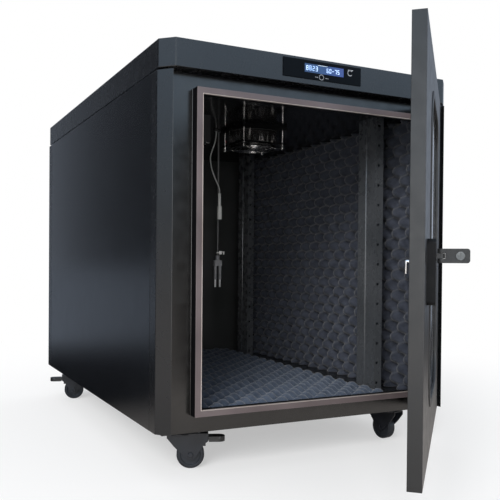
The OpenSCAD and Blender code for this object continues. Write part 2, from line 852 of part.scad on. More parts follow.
// Outer trim ring with a neck that reaches the glass
module window_trim() {
    color(dark) on_door() difference() {
        union() {
            rounded_plate(window_w + 2 * trim_w, window_h + 2 * trim_w, window_r + trim_w,
                door_face - trim_t, door_face, window_z);
            rounded_plate(window_w + trim_w - 0.6, window_h + trim_w - 0.6, window_r + trim_w / 2 - 0.3,
                door_face - 0.5, glass_y, window_z);
        }
        rounded_plate(window_w, window_h, window_r, door_face - trim_t - 1, glass_y + 1, window_z);
    }
}

// Inner frame that holds the glass against the trim
module glass_retainer() {
    color(black) on_door() difference() {
        rounded_plate(window_w + 40, window_h + 40, window_r + 20, door_inner, glass_y + glass_t + 2.5, window_z);
        rounded_plate(window_w + trim_w, window_h + trim_w, window_r + trim_w / 2,
            door_inner - 1, glass_y + glass_t, window_z);
        rounded_plate(window_w - retainer_w, window_h - retainer_w, window_r - retainer_w / 2,
            door_inner - 1, glass_y + glass_t + 4, window_z);
    }
}

// Two hinge leaves on the door, each with its pin
module door_hinge_leaves() {
    color(dark) on_door() for (z = hinge_zs) {
        translate([hinge_x, hinge_y, z - leaf_half]) cylinder(r = hinge_pin_r, h = 2 * leaf_half);
        block([hinge_x - leaf_w, door_inner, z - leaf_half], [hinge_x - 6, door_inner + 2, z + leaf_half]);
        for (dz = [-leaf_half, leaf_half - leaf_ear]) translate([0, 0, z + dz]) {
            translate([hinge_x, hinge_y, 0]) cylinder(r = knuckle_r, h = leaf_ear);
            block([hinge_x - leaf_w, door_inner, 0], [hinge_x, hinge_y, leaf_ear]);
        }
    }
}

// Long plate behind the lever, bored for the spindle
module handle_escutcheon() {
    color(dark) on_door() difference() {
        translate([spindle_x, 0, 0])
            rounded_plate(escutcheon_w, escutcheon_h, escutcheon_r, door_face - escutcheon_t, door_face,
                spindle_z - escutcheon_drop);
        rod_y(spindle_x, spindle_z, spindle_r + running, door_face - escutcheon_t - 1, door_face + 1);
    }
}

// Spindle with the tongue that the lever folds on
module handle_spindle() {
    color(dark) on_door() difference() {
        union() {
            rod_y(spindle_x, spindle_z, spindle_r, door_face - escutcheon_t - hub_gap, cam_y);
            block([spindle_x - tongue_r, fold_y, spindle_z - tongue_half],
                [spindle_x + tongue_r, door_face - escutcheon_t - hub_gap, spindle_z + tongue_half]);
            translate([spindle_x, fold_y, spindle_z - tongue_half]) cylinder(r = tongue_r, h = 2 * tongue_half);
        }
        translate([spindle_x, fold_y, spindle_z - tongue_half - 1])
            cylinder(r = fold_pin_r + running, h = 2 * tongue_half + 2);
    }
}

// Cam on the spindle's inner end, with a round hook that stands out and turns down
module latch_cam() {
    hook_z = spindle_z - hook_drop;
    color(zinc) on_door() {
        rod_y(spindle_x, spindle_z, 6, cam_y, cam_y + cam_t);
        block([spindle_x - cam_w / 2, cam_y, hook_z - cam_w / 2], [spindle_x + cam_w / 2, cam_y + cam_t, spindle_z]);
        rod_y(spindle_x, hook_z, hook_r, cam_y + 1, hook_y);
        translate([spindle_x, hook_y, hook_z]) sphere(hook_r);
        translate([spindle_x, hook_y, spindle_z - hook_reach]) cylinder(r = hook_r, h = hook_reach - hook_drop);
    }
}

// Lever, pulled out square to the door, with its fold pin and a pocket for the lock
module handle_lever() {
    tip = door_face - lever_reach;
    color([0.16, 0.16, 0.17]) on_door() {
        difference() {
            union() {
                translate([spindle_x, fold_y, spindle_z - lever_w / 2]) cylinder(r = lever_t / 2, h = lever_w);
                block([spindle_x - lever_t / 2, tip + lever_corner, spindle_z - lever_w / 2],
                    [spindle_x + lever_t / 2, fold_y, spindle_z + lever_w / 2]);
                block([spindle_x - lever_t / 2, tip, spindle_z - lever_w / 2 + lever_corner],
                    [spindle_x + lever_t / 2, fold_y, spindle_z + lever_w / 2 - lever_corner]);
                for (s = [-1, 1])
                    translate([spindle_x - lever_t / 2, tip + lever_corner,
                        spindle_z + s * (lever_w / 2 - lever_corner)])
                        rotate([0, 90, 0]) cylinder(r = lever_corner, h = lever_t);
            }
            block([spindle_x - 8, fold_y - tongue_r - 0.3, spindle_z - tongue_half - 0.3],
                [spindle_x + 8, fold_y + 8, spindle_z + tongue_half + 0.3]);
            translate([spindle_x - plug_out + 1, plug_y, spindle_z]) rotate([0, 90, 0])
                cylinder(r = plug_r + running, h = plug_deep - 0.5);
        }
        translate([spindle_x, fold_y, spindle_z - lever_w / 2 + 1]) cylinder(r = fold_pin_r, h = lever_w - 2);
    }
}

// Round key lock in the lever
module lock_plug() {
    color([0.6, 0.6, 0.62]) on_door() difference() {
        translate([spindle_x - plug_out, plug_y, spindle_z]) rotate([0, 90, 0]) cylinder(r = plug_r, h = plug_deep);
        translate([spindle_x - plug_out, plug_y, spindle_z]) cube([4, 1.6, 7], center = true);
    }
}

// ---------- Casters ----------

// Two box rails under the base
module caster_rails() {
    color(black) for (s = [-1, 1]) difference() {
        block([-rail_half, s * caster_y - rail_w / 2, -rail_h], [rail_half, s * caster_y + rail_w / 2, 0]);
        block([-rail_half - 1, s * caster_y - rail_w / 2 + sheet, -rail_h + sheet],
            [rail_half + 1, s * caster_y + rail_w / 2 - sheet, -sheet]);
    }
}

// Mounting plate, race and king pin of each caster
module caster_plates() {
    color(dark) for (p = caster_places) translate([p[0], p[1], 0]) {
        translate([-plate_x / 2, -plate_y / 2, -rail_h - plate_t]) cube([plate_x, plate_y, plate_t]);
        translate([0, 0, crown_z + race_gap]) cylinder(r = king_race_r, h = race_t);
        translate([0, 0, crown_z - crown_t - 1]) cylinder(r = king_r, h = 5);
        translate([0, 0, crown_z - crown_t - race_gap - king_nut_h]) cylinder(r = king_nut_r, h = king_nut_h);
    }
}

// Side view of a fork cheek
module cheek_outline() {
    polygon([[fork_back, crown_z], [fork_front, crown_z], [fork_front, pedal_z - 3], [fork_front - 8, pedal_z - 9],
        [trail + 9, axle_z - 5], [trail + 4, axle_z - 10], [trail - 4, axle_z - 10],
        [trail - 9, axle_z - 5], [fork_back + 14, crown_z - 25], [fork_back, crown_z - 8]]);
}

// Swivelling fork with its axle and the brake's pivot pin
module fork() {
    difference() {
        union() {
            translate([fork_back, -cheek_in - cheek_t, crown_z - crown_t])
                cube([fork_front - fork_back, 2 * (cheek_in + cheek_t), crown_t]);
            translate([0, 0, crown_z - crown_t]) cylinder(r = -fork_back, h = crown_t);
            for (v = [-cheek_in, cheek_in + cheek_t])
                translate([0, v, 0]) rotate([90, 0, 0]) linear_extrude(cheek_t) cheek_outline();
        }
        translate([0, 0, crown_z - crown_t - 1]) cylinder(r = king_r + running, h = crown_t + 2);
    }
    translate([trail, 0, axle_z]) rotate([90, 0, 0])
        cylinder(r = axle_r, h = 2 * (cheek_in + cheek_t) + 3, center = true);
    translate([pedal_u, 0, pedal_z]) rotate([90, 0, 0])
        cylinder(r = brake_pin_r, h = 2 * (cheek_in + cheek_t), center = true);
}

module wheel() {
    translate([trail, 0, axle_z]) rotate([90, 0, 0]) difference() {
        union() {
            cylinder(r = wheel_r, h = wheel_w - 2 * tyre_step, center = true);
            cylinder(r = wheel_r - tyre_step, h = wheel_w, center = true);
        }
        cylinder(r = axle_r + running, h = wheel_w + 2, center = true);
        for (s = [-1, 1]) translate([0, 0, s * wheel_w / 2]) difference() {
            cylinder(r = hub_dish_r, h = 4, center = true);
            cylinder(r = hub_boss_r, h = 5, center = true);
        }
    }
}

// Brake pedal: tread outside the fork, body between the cheeks and the shoe above the tyre
module brake() {
    half = cheek_in - 0.5;
    difference() {
        union() {
            translate([pedal_u, 0, pedal_z]) rotate([90, 0, 0]) cylinder(r = brake_hub_r, h = 2 * half, center = true);
            translate([pedal_u - shoe_back, -half, pedal_z - shoe_drop]) cube([shoe_back + 2, 2 * half, shoe_drop]);
            translate([pedal_u, -half, pedal_z - 2]) cube([tread_u - pedal_u + 1, 2 * half, 6]);
            translate([tread_u, -tread_w / 2, pedal_z - pedal_up])
                cube([tread_end - tread_w / 2 - tread_u, tread_w, 2 * pedal_up]);
            translate([tread_end - tread_w / 2, 0, pedal_z - pedal_up]) cylinder(r = tread_w / 2, h = 2 * pedal_up);
        }
        translate([pedal_u, 0, pedal_z]) rotate([90, 0, 0])
            cylinder(r = brake_pin_r + running, h = 2 * half + 2, center = true);
    }
}

module front_left_fork() { color(dark) at_caster(0) fork(); }
module front_left_wheel() { color(slate) at_caster(0) wheel(); }
module front_left_brake() { color(black) at_caster(0) brake(); }
module front_right_fork() { color(dark) at_caster(1) fork(); }
module front_right_wheel() { color(slate) at_caster(1) wheel(); }
module front_right_brake() { color(black) at_caster(1) brake(); }
module rear_left_fork() { color(dark) at_caster(2) fork(); }
module rear_left_wheel() { color(slate) at_caster(2) wheel(); }
module rear_left_brake() { color(black) at_caster(2) brake(); }
module rear_right_fork() { color(dark) at_caster(3) fork(); }
module rear_right_wheel() { color(slate) at_caster(3) wheel(); }
module rear_right_brake() { color(black) at_caster(3) brake(); }

base_frame();
base_plate();
floor_panel();
front_posts();
rear_posts();
front_frame();
door_gasket();
left_side_panel();
right_side_panel();
rear_panel();
rear_liner();
ceiling_panel();
roof_cap();
outlet_grille();
power_inlet();
display_bezel();
lcd_module();
controller_board();
front_uprights();
rear_uprights();
floor_foam();
wall_foams();
fan_frame();
fan_rotor();
fan_guard();
fan_screws();
junction_box();
indicator_lamp();
cable_glands();
sensor_lead();
sensor_connector();
power_lead();
power_plug();
frame_hinges();
latch_keeper();
door_pan();
door_liner();
window_glass();
window_trim();
glass_retainer();
door_hinge_leaves();
handle_escutcheon();
handle_spindle();
latch_cam();
handle_lever();
lock_plug();
caster_rails();
caster_plates();
front_left_fork();
front_left_wheel();
front_left_brake();
front_right_fork();
front_right_wheel();
front_right_brake();
rear_left_fork();
rear_left_wheel();
rear_left_brake();
rear_right_fork();
rear_right_wheel();
rear_right_brake();
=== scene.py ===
"""Soundproof rack cabinet on casters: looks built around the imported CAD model, in metres."""

import json
import math

import bmesh
import bpy
from mathutils import Matrix, Vector


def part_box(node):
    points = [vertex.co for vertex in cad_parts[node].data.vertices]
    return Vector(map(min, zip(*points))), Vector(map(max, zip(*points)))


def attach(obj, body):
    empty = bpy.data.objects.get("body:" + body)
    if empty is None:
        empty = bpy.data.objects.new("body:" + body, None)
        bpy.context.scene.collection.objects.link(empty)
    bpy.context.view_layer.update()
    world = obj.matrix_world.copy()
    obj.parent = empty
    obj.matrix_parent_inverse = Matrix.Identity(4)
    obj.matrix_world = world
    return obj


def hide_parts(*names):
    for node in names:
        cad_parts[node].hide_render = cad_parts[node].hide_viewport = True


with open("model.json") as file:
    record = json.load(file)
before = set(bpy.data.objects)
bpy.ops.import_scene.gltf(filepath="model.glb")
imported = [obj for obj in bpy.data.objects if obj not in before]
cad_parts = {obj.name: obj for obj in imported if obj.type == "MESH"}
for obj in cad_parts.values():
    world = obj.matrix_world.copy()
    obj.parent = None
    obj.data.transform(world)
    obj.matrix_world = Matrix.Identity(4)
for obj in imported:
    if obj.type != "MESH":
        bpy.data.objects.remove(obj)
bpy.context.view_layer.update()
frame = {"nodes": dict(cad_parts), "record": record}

MM = 0.001

# ---------- Driving sizes, in metres, as in the CAD model ----------
GROUND = -0.087
OPENING_HALF = 0.249
OPENING_Z = (0.038, 0.6095)
GASKET_FACE = -0.474
FRAME_Y = -0.452
FOAM_PITCH = 0.048
WALL_FOAM = 0.033
SENSOR_WIDTH = 0.003
POWER_WIDTH = 0.004
# Each caster's king pin x and y, and the angle that its wheel trails at
CASTERS = {
    "front_left": (-0.254, -0.381, -22),
    "front_right": (0.254, -0.381, 98),
    "rear_left": (-0.254, 0.381, 167),
    "rear_right": (0.254, 0.381, 84),
}
AXLE_Z = -0.0605
TRAIL = 0.022
FORK_SIDE = 0.0135
PLATE_Z = -0.0155
FAN_RUBBER = 0.006
FAN_FLANGE = 0.004
WIRING_SIDE = -0.108
PIN_TOP = 0.264


# ---------- Camera ----------
def add_camera():
    """The camera: front left of the cabinet, a little below its middle."""
    place = Vector((-0.7493, -1.6326, 0.3055))
    heading = math.radians(26.416)
    tilt = math.radians(-0.737)
    roll = math.radians(0.474)
    look = Vector((math.sin(heading) * math.cos(tilt), math.cos(heading) * math.cos(tilt), math.sin(tilt)))
    side = look.cross(Vector((0, 0, 1))).normalized()
    up = side.cross(look)
    right = side * math.cos(roll) + up * math.sin(roll)
    top = up * math.cos(roll) - side * math.sin(roll)
    data = bpy.data.cameras.new("camera")
    data.lens = 50.55
    data.sensor_width = 36.0
    data.shift_x = 0.0212
    data.shift_y = 0.0441
    data.clip_start = 0.01
    data.clip_end = 100
    camera = bpy.data.objects.new("camera", data)
    turn = Matrix((right, top, -look)).transposed().to_4x4()
    camera.matrix_world = Matrix.Translation(place) @ turn
    bpy.context.scene.collection.objects.link(camera)
    bpy.context.scene.camera = camera


# ---------- Node helpers ----------
def new_material(name):
    material = bpy.data.materials.new(name)
    material.use_nodes = True
    tree = material.node_tree
    return material, tree, tree.nodes["Principled BSDF"]


def add_node(tree, kind, **inputs):
    """A node with some of its inputs set by name; names are written with _ for spaces."""
    node = tree.nodes.new(kind)
    for key, value in inputs.items():
        node.inputs[key.replace("_", " ")].default_value = value
    return node


def noise(tree, scale, detail, rough=0.5):
    """A noise texture in object space, in waves per metre."""
    coords = tree.nodes.new("ShaderNodeTexCoord")
    texture = add_node(tree, "ShaderNodeTexNoise", Scale=scale, Detail=detail, Roughness=rough)
    tree.links.new(coords.outputs["Object"], texture.inputs["Vector"])
    return texture.outputs["Fac"]


def ramp(tree, source, low, high):
    """A colour ramp from low to high over the middle of a noise; both are (r, g, b) or one grey number."""
    node = tree.nodes.new("ShaderNodeValToRGB")
    node.color_ramp.elements[0].position = 0.35
    node.color_ramp.elements[1].position = 0.65
    for element, colour in zip(node.color_ramp.elements, (low, high)):
        rgb = (colour,) * 3 if isinstance(colour, (int, float)) else colour
        element.color = (*rgb, 1)
    tree.links.new(source, node.inputs["Fac"])
    return node.outputs["Color"]


def bump(tree, bsdf, source, distance, strength=1.0):
    node = add_node(tree, "ShaderNodeBump", Strength=strength, Distance=distance)
    tree.links.new(source, node.inputs["Height"])
    tree.links.new(node.outputs["Normal"], bsdf.inputs["Normal"])


def grained(name, low, high, rough_low, rough_high, grain, depth, metallic=0.0, specular=0.5,
            cloud=9.0):
    """A coat or moulding: slow colour cloud, roughness that varies and a fine surface grain."""
    material, tree, bsdf = new_material(name)
    tree.links.new(ramp(tree, noise(tree, cloud, 2.0), low, high), bsdf.inputs["Base Color"])
    tree.links.new(ramp(tree, noise(tree, cloud * 6, 4.0), rough_low, rough_high), bsdf.inputs["Roughness"])
    bump(tree, bsdf, noise(tree, grain, 2.0), depth)
    bsdf.inputs["Metallic"].default_value = metallic
    bsdf.inputs["Specular IOR Level"].default_value = specular
    return material


def stops(tree, source, low, high, entries):
    """A colour that follows a coordinate through several stops, each (place, (r, g, b))."""
    spread = add_node(tree, "ShaderNodeMapRange", From_Min=low, From_Max=high)
    tree.links.new(source, spread.inputs["Value"])
    node = tree.nodes.new("ShaderNodeValToRGB")
    elements = node.color_ramp.elements
    while len(elements) < len(entries):
        elements.new(0.5)
    for element, (place, rgb) in zip(elements, entries):
        element.position = (place - low) / (high - low)
        element.color = (*rgb, 1)
    tree.links.new(spread.outputs["Result"], node.inputs["Fac"])
    return node.outputs["Color"]


def mixed(tree, factor, first, second):
    """A blend of two colours, each a socket or (r, g, b)."""
    node = tree.nodes.new("ShaderNodeMix")
    node.data_type = "RGBA"
    tree.links.new(factor, node.inputs["Factor"])
    for socket, value in (("A", first), ("B", second)):
        if isinstance(value, tuple):
            node.inputs[socket].default_value = (*value, 1)
        else:
            tree.links.new(value, node.inputs[socket])
    return node.outputs["Result"]


def outside(tree, source, middle, half):
    """How far a coordinate lies beyond a half width from the middle."""
    shift = tree.nodes.new("ShaderNodeMath")
    shift.operation = "SUBTRACT"
    shift.inputs[1].default_value = middle
    tree.links.new(source, shift.inputs[0])
    size = tree.nodes.new("ShaderNodeMath")
    size.operation = "ABSOLUTE"
    tree.links.new(shift.outputs["Value"], size.inputs[0])
    beyond = tree.nodes.new("ShaderNodeMath")
    beyond.operation = "SUBTRACT"
    beyond.inputs[1].default_value = half
    tree.links.new(size.outputs["Value"], beyond.inputs[0])
    return beyond.outputs["Value"]


def axis_of(tree, axis):
    """The X, Y or Z of a point in object space."""
    coords = tree.nodes.new("ShaderNodeTexCoord")
    split = tree.nodes.new("ShaderNodeSeparateXYZ")
    tree.links.new(coords.outputs["Object"], split.inputs["Vector"])
    return split.outputs[axis]


def second_zone(material, source, start, end, rgb, rough=None, metallic=None, specular=None):
    """Changes a finish beyond a place: from the first one at start to the second one at end."""
    tree = material.node_tree
    bsdf = tree.nodes["Principled BSDF"]
    zone = add_node(tree, "ShaderNodeMapRange", From_Min=start, From_Max=end)
    tree.links.new(source, zone.inputs["Value"])
    factor = zone.outputs["Result"]
    first = bsdf.inputs["Base Color"].links[0].from_socket
    tree.links.new(mixed(tree, factor, first, rgb), bsdf.inputs["Base Color"])
    if rough is not None:
        first = bsdf.inputs["Roughness"].links[0].from_socket
        tree.links.new(mixed(tree, factor, first, (rough,) * 3), bsdf.inputs["Roughness"])
    for socket, value in (("Metallic", metallic), ("Specular IOR Level", specular)):
        if value is not None:
            change = add_node(tree, "ShaderNodeMapRange")
            change.inputs["To Min"].default_value = bsdf.inputs[socket].default_value
            change.inputs["To Max"].default_value = value
            tree.links.new(factor, change.inputs["Value"])
            tree.links.new(change.outputs["Result"], bsdf.inputs[socket])
    return material


# ---------- Materials ----------
def powder_coat():
    return grained("powder_black", (0.0045, 0.0048, 0.0056), (0.0060, 0.0064, 0.0074), 0.25, 0.28, 1500,
                   0.000005)


def satin_sheet():
    return grained("inner_black", (0.012, 0.0125, 0.0135), (0.016, 0.0165, 0.0175), 0.26, 0.34, 500, 0.00003)


def foam(name, low, high):
    """Open-cell foam: pores as bump, with a soft sheen and a mottled colour."""
    material, tree, bsdf = new_material(name)
    coords = tree.nodes.new("ShaderNodeTexCoord")
    pores = add_node(tree, "ShaderNodeTexVoronoi", Scale=520.0)
    tree.links.new(coords.outputs["Object"], pores.inputs["Vector"])
    tree.links.new(ramp(tree, noise(tree, 60, 5.0, 0.65), low, high), bsdf.inputs["Base Color"])
    bump(tree, bsdf, pores.outputs["Distance"], 0.0006, 0.8)
    bsdf.inputs["Roughness"].default_value = 0.92
    bsdf.inputs["Specular IOR Level"].default_value = 0.25
    bsdf.inputs["Sheen Weight"].default_value = 0.25
    bsdf.inputs["Sheen Roughness"].default_value = 0.5
    return material


def gasket_rubber():
    return grained("gasket_rubber", (0.072, 0.056, 0.057), (0.105, 0.083, 0.084), 0.40, 0.54, 1400, 0.00004)


def felt():
    material = grained("liner_felt", (0.009, 0.009, 0.010), (0.016, 0.016, 0.017), 0.85, 0.98, 1600, 0.0003)
    material.node_tree.nodes["Principled BSDF"].inputs["Sheen Weight"].default_value = 0.3
    return material


def gloss_black():
    return grained("bezel_gloss", (0.0012, 0.0016, 0.0024), (0.0018, 0.0024, 0.0034), 0.06, 0.10, 300,
                   0.000002, specular=0.055)


def wiring_plastic():
    """Black wiring box whose glands are plated."""
    material = grained("wiring_black", (0.010, 0.010, 0.011), (0.016, 0.016, 0.017), 0.42, 0.55, 1500,
                       0.00004)
    return second_zone(material, axis_of(material.node_tree, "X"), WIRING_SIDE, WIRING_SIDE + 0.0005,
                       (0.80, 0.80, 0.80), 0.30, 1.0)


def plug_plastic():
    """Grey moulded plug with plated pins."""
    material = grained("plug_grey", (0.22, 0.22, 0.225), (0.32, 0.32, 0.325), 0.34, 0.5, 1500, 0.00003,
                       cloud=60)
    return second_zone(material, axis_of(material.node_tree, "Z"), PIN_TOP, PIN_TOP - 0.0008,
                       (0.86, 0.86, 0.86), 0.32, 0.4)


def front_coat_with_lip_shade():
    """Coat of the front frame; the sides of the raised lip are painted near-black, a painted shade for the
    dark band of shadow beside the lip.
    """
    material = grained("frame_coat_and_lip_shade", (0.0045, 0.0043, 0.0040), (0.0065, 0.0062, 0.0058), 0.20, 0.26, 1200,
                       0.000006, specular=0.7)
    # In front of the frame's face the colour turns near-black: painted shade on the sides of the lip.
    return second_zone(material, axis_of(material.node_tree, "Y"), FRAME_Y - 0.0003, FRAME_Y - 0.0008,
                       (0.0022, 0.0020, 0.0024), 0.7, specular=0.1)


def black_plastic():
    return grained("black_plastic", (0.010, 0.010, 0.011), (0.016, 0.016, 0.017), 0.42, 0.58, 2200, 0.00005)


def fan_plastic():
    """Dark flanges and rubber, with a lighter metallic body between them."""
    material = grained("fan_plastic", (0.30, 0.29, 0.28), (0.38, 0.37, 0.36), 0.18, 0.26, 1500,
                       0.000006, metallic=0.9)
    low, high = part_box("fan_frame")
    middle = (low.z + high.z) / 2 - FAN_RUBBER / 2
    half = (high.z - low.z - FAN_RUBBER) / 2 - FAN_FLANGE
    tree = material.node_tree
    return second_zone(material, outside(tree, axis_of(tree, "Z"), middle, half), -0.0008, 0.0,
                       (0.006, 0.006, 0.0065), metallic=0.0)


def bright_wire():
    return grained("bright_wire", (0.72, 0.72, 0.72), (0.85, 0.85, 0.85), 0.12, 0.24, 1200, 0.00001,
                   metallic=1.0)


def zinc_plate():
    return grained("zinc", (0.60, 0.60, 0.60), (0.78, 0.79, 0.80), 0.22, 0.38, 700, 0.00002,
                   metallic=1.0, cloud=60)


def grey_cord():
    return grained("grey_cord", (0.36, 0.36, 0.35), (0.46, 0.46, 0.45), 0.42, 0.55, 1800, 0.00002, cloud=80)


def dark_cord():
    return grained("dark_cord", (0.10, 0.10, 0.10), (0.15, 0.15, 0.15), 0.40, 0.52, 1800, 0.00002, cloud=80)


def white_plastic():
    return grained("white_plastic", (0.62, 0.62, 0.59), (0.74, 0.74, 0.71), 0.35, 0.45, 1500, 0.00002,
                   cloud=50)


def grey_plastic():
    return grained("grey_plastic", (0.16, 0.16, 0.165), (0.24, 0.24, 0.245), 0.35, 0.5, 1500, 0.00003,
                   cloud=60)


def handle_coat():
    return grained("handle_grey", (0.0085, 0.0090, 0.0092), (0.0130, 0.0136, 0.0140), 0.44, 0.54, 1300,
                   0.00005, specular=0.35)


def lock_steel():
    return grained("lock_steel", (0.070, 0.075, 0.077), (0.10, 0.105, 0.108), 0.36, 0.48, 900, 0.00002,
                   metallic=0.5, cloud=90)


def fork_coat():
    return grained("fork_steel", (0.0055, 0.0066, 0.0090), (0.0095, 0.0112, 0.0150), 0.34, 0.48, 900,
                   0.00004, specular=0.4, cloud=30)


def wheel_rubber():
    return grained("wheel_rubber", (0.0075, 0.0088, 0.0115), (0.0130, 0.0150, 0.0190), 0.46, 0.60, 700,
                   0.00008, specular=0.35, cloud=40)


def pedal_plastic():
    return grained("pedal_plastic", (0.009, 0.009, 0.009), (0.015, 0.015, 0.014), 0.32, 0.45, 1200, 0.00005)


def circuit_board():
    return grained("circuit_board", (0.012, 0.075, 0.030), (0.020, 0.11, 0.045), 0.3, 0.4, 600, 0.00003,
                   cloud=120)


def tinted_glass():
    material, tree, bsdf = new_material("tinted_glass")
    tint = ramp(tree, noise(tree, 3, 1.0), (0.10, 0.11, 0.13), (0.12, 0.13, 0.15))
    tree.links.new(tint, bsdf.inputs["Base Color"])
    tree.links.new(ramp(tree, noise(tree, 40, 4.0), 0.015, 0.05), bsdf.inputs["Roughness"])
    bsdf.inputs["Transmission Weight"].default_value = 0.85
    bsdf.inputs["IOR"].default_value = 1.5
    return material


def red_lens():
    material = grained("red_lens", (0.55, 0.008, 0.010), (0.75, 0.015, 0.015), 0.1, 0.2, 800, 0.00002)
    bsdf = material.node_tree.nodes["Principled BSDF"]
    bsdf.inputs["Emission Color"].default_value = (1.0, 0.01, 0.01, 1)
    bsdf.inputs["Emission Strength"].default_value = 0.8
    return material


def lit_display(name, low, high, strength):
    """A backlit surface whose light is uneven, as behind a real display."""
    material, tree, bsdf = new_material(name)
    tint = ramp(tree, noise(tree, 45, 2.0), low, high)
    tree.links.new(tint, bsdf.inputs["Base Color"])
    tree.links.new(tint, bsdf.inputs["Emission Color"])
    bsdf.inputs["Emission Strength"].default_value = strength
    bsdf.inputs["Roughness"].default_value = 0.25
    return material


def lcd_glass():
    """The backlight is a dull teal at the left and a violet blue at the right."""
    material = lit_display("lcd_blue", (0.004, 0.014, 0.040), (0.008, 0.030, 0.080), 0.55)
    tree = material.node_tree
    bsdf = tree.nodes["Principled BSDF"]
    colours = ((-0.042, (0.012, 0.040, 0.13)), (-0.010, (0.010, 0.050, 0.16)), (0.048, (0.045, 0.060, 0.32)))
    tint = stops(tree, axis_of(tree, "X"), -0.06, 0.06, colours)
    tree.links.new(tint, bsdf.inputs["Emission Color"])
    return material


def ceiling_sheet():
    return grained("gloss_sheet", (0.006, 0.006, 0.007), (0.008, 0.008, 0.009), 0.10, 0.16, 300, 0.000006)


def side_coat():
    return grained("side_coat", (0.0040, 0.0045, 0.0056), (0.0048, 0.0055, 0.0068), 0.20, 0.23, 1500,
                   0.000004, cloud=4.0)


def door_coat():
    return grained("door_coat", (0.0050, 0.0054, 0.0058), (0.0075, 0.0079, 0.0084), 0.34, 0.42, 900,
                   0.00003, specular=0.42)


# Black coat made about ten times lighter than the others: painted sheen, for the light that the uprights
# catch.
def upright_coat_painted_sheen():
    return grained("upright_coat_painted_sheen", (0.050, 0.054, 0.059), (0.066, 0.070, 0.076), 0.24, 0.32, 900,
                   0.00001, specular=0.9)


def liner_back():
    return grained("liner_back", (0.038, 0.040, 0.039), (0.050, 0.052, 0.052), 0.30, 0.40, 600, 0.00002)


def escutcheon_black():
    return grained("escutcheon_black", (0.0040, 0.0041, 0.0045), (0.0060, 0.0061, 0.0066), 0.50, 0.60, 1300,
                   0.00004, specular=0.12)


def gasket_lip():
    return grained("gasket_lip", (0.26, 0.22, 0.20), (0.38, 0.34, 0.32), 0.3, 0.42, 1200, 0.00003)


def mark_grey():
    return grained("mark_grey", (0.20, 0.21, 0.23), (0.28, 0.29, 0.31), 0.3, 0.4, 900, 0.00001)


def build_materials():
    """Every finish: the record's slots by name, and a few variants that share a slot."""
    made = {
        "powder_black": powder_coat(), "inner_black": satin_sheet(), "gasket_rubber": gasket_rubber(),
        "foam": foam("foam", (0.026, 0.030, 0.041), (0.052, 0.058, 0.076)), "liner_felt": felt(),
        "bezel_gloss": gloss_black(), "lcd_blue": lcd_glass(), "circuit_board": circuit_board(),
        "black_plastic": black_plastic(), "fan_plastic": fan_plastic(),
        "bright_wire": bright_wire(), "zinc": zinc_plate(), "red_lens": red_lens(),
        "grey_cord": grey_cord(), "dark_cord": dark_cord(), "white_plastic": white_plastic(),
        "grey_plastic": grey_plastic(), "tinted_glass": tinted_glass(), "handle_grey": handle_coat(),
        "lock_steel": lock_steel(), "fork_steel": fork_coat(), "wheel_rubber": wheel_rubber(),
        "pedal_plastic": pedal_plastic(),
    }
    made.update({
        "display_white": lit_display("display_white", (0.22, 0.36, 0.60), (0.42, 0.56, 0.80), 0.75),
        # Emissive strip for the top edge of the screen: a painted highlight for a glint on the bezel, not a
        # lamp.
        "display_painted_highlight": lit_display("display_painted_highlight", (0.30, 0.38, 0.42), (0.50, 0.56, 0.60), 0.6),
        "gloss_sheet": ceiling_sheet(), "frame_coat_and_lip_shade": front_coat_with_lip_shade(), "wiring_black": wiring_plastic(),
        "plug_grey": plug_plastic(), "side_coat": side_coat(), "door_coat": door_coat(),
        "upright_coat_painted_sheen": upright_coat_painted_sheen(),
        # A lighter, bluer copy of the foam: painted light, for the bluish light that falls on the floor foam.
        "foam_floor_painted_light": foam("foam_floor_painted_light", (0.036, 0.050, 0.076), (0.070, 0.090, 0.128)),
        "liner_back": liner_back(), "escutcheon_black": escutcheon_black(), "gasket_lip": gasket_lip(),
        "mark_grey": mark_grey(),
    })
    return made


# ---------- Mesh helpers ----------
def piece(name, mesh, material, body, replaces=()):
    """Links a mesh whose vertices are in the shared frame, and makes it ride on a body."""
    obj = bpy.data.objects.new(name, mesh)
    bpy.context.scene.collection.objects.link(obj)
    obj.data.materials.clear()
    obj.data.materials.append(MATERIALS[material])
    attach(obj, body)
    if replaces:
        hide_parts(*replaces)
    return obj


def mesh_from(name, verts, faces, smooth=True):
    mesh = bpy.data.meshes.new(name)
    mesh.from_pydata([tuple(v) for v in verts], [], faces)
    work = bmesh.new()
    work.from_mesh(mesh)
    bmesh.ops.remove_doubles(work, verts=work.verts, dist=1e-7)
    bmesh.ops.recalc_face_normals(work, faces=work.faces)
    work.to_mesh(mesh)
    work.free()
    for face in mesh.polygons:
        face.use_smooth = smooth
    return mesh


def smooth_by_angle(obj, degrees=35):
    """Smooth shading inside a surface, sharp shading across its edges."""
    work = bmesh.new()
    work.from_mesh(obj.data)
    for edge in work.edges:
        if len(edge.link_faces) == 2:
            edge.smooth = edge.calc_face_angle(0) < math.radians(degrees)
    for face in work.faces:
        face.smooth = True
    work.to_mesh(obj.data)
    work.free()


def round_edges(obj, width):
    """Breaks the sharp edges of a piece by a small bevel, so that they catch the light."""
    weld = obj.modifiers.new("weld", "WELD")
    weld.merge_threshold = 0.00001
    bevel = obj.modifiers.new("bevel", "BEVEL")
    bevel.width = width
    bevel.segments = 2
    bevel.limit_method = "ANGLE"
    bevel.angle_limit = math.radians(35)


def caster_to_row(name, verts):
    """Caster points (towards the wheel, along the axle, up) moved into the shared frame."""
    x, y, angle = CASTERS[name]
    turn = Matrix.Rotation(math.radians(angle), 3, "Z")
    return [Vector((x, y, 0)) + turn @ Vector(v) for v in verts]


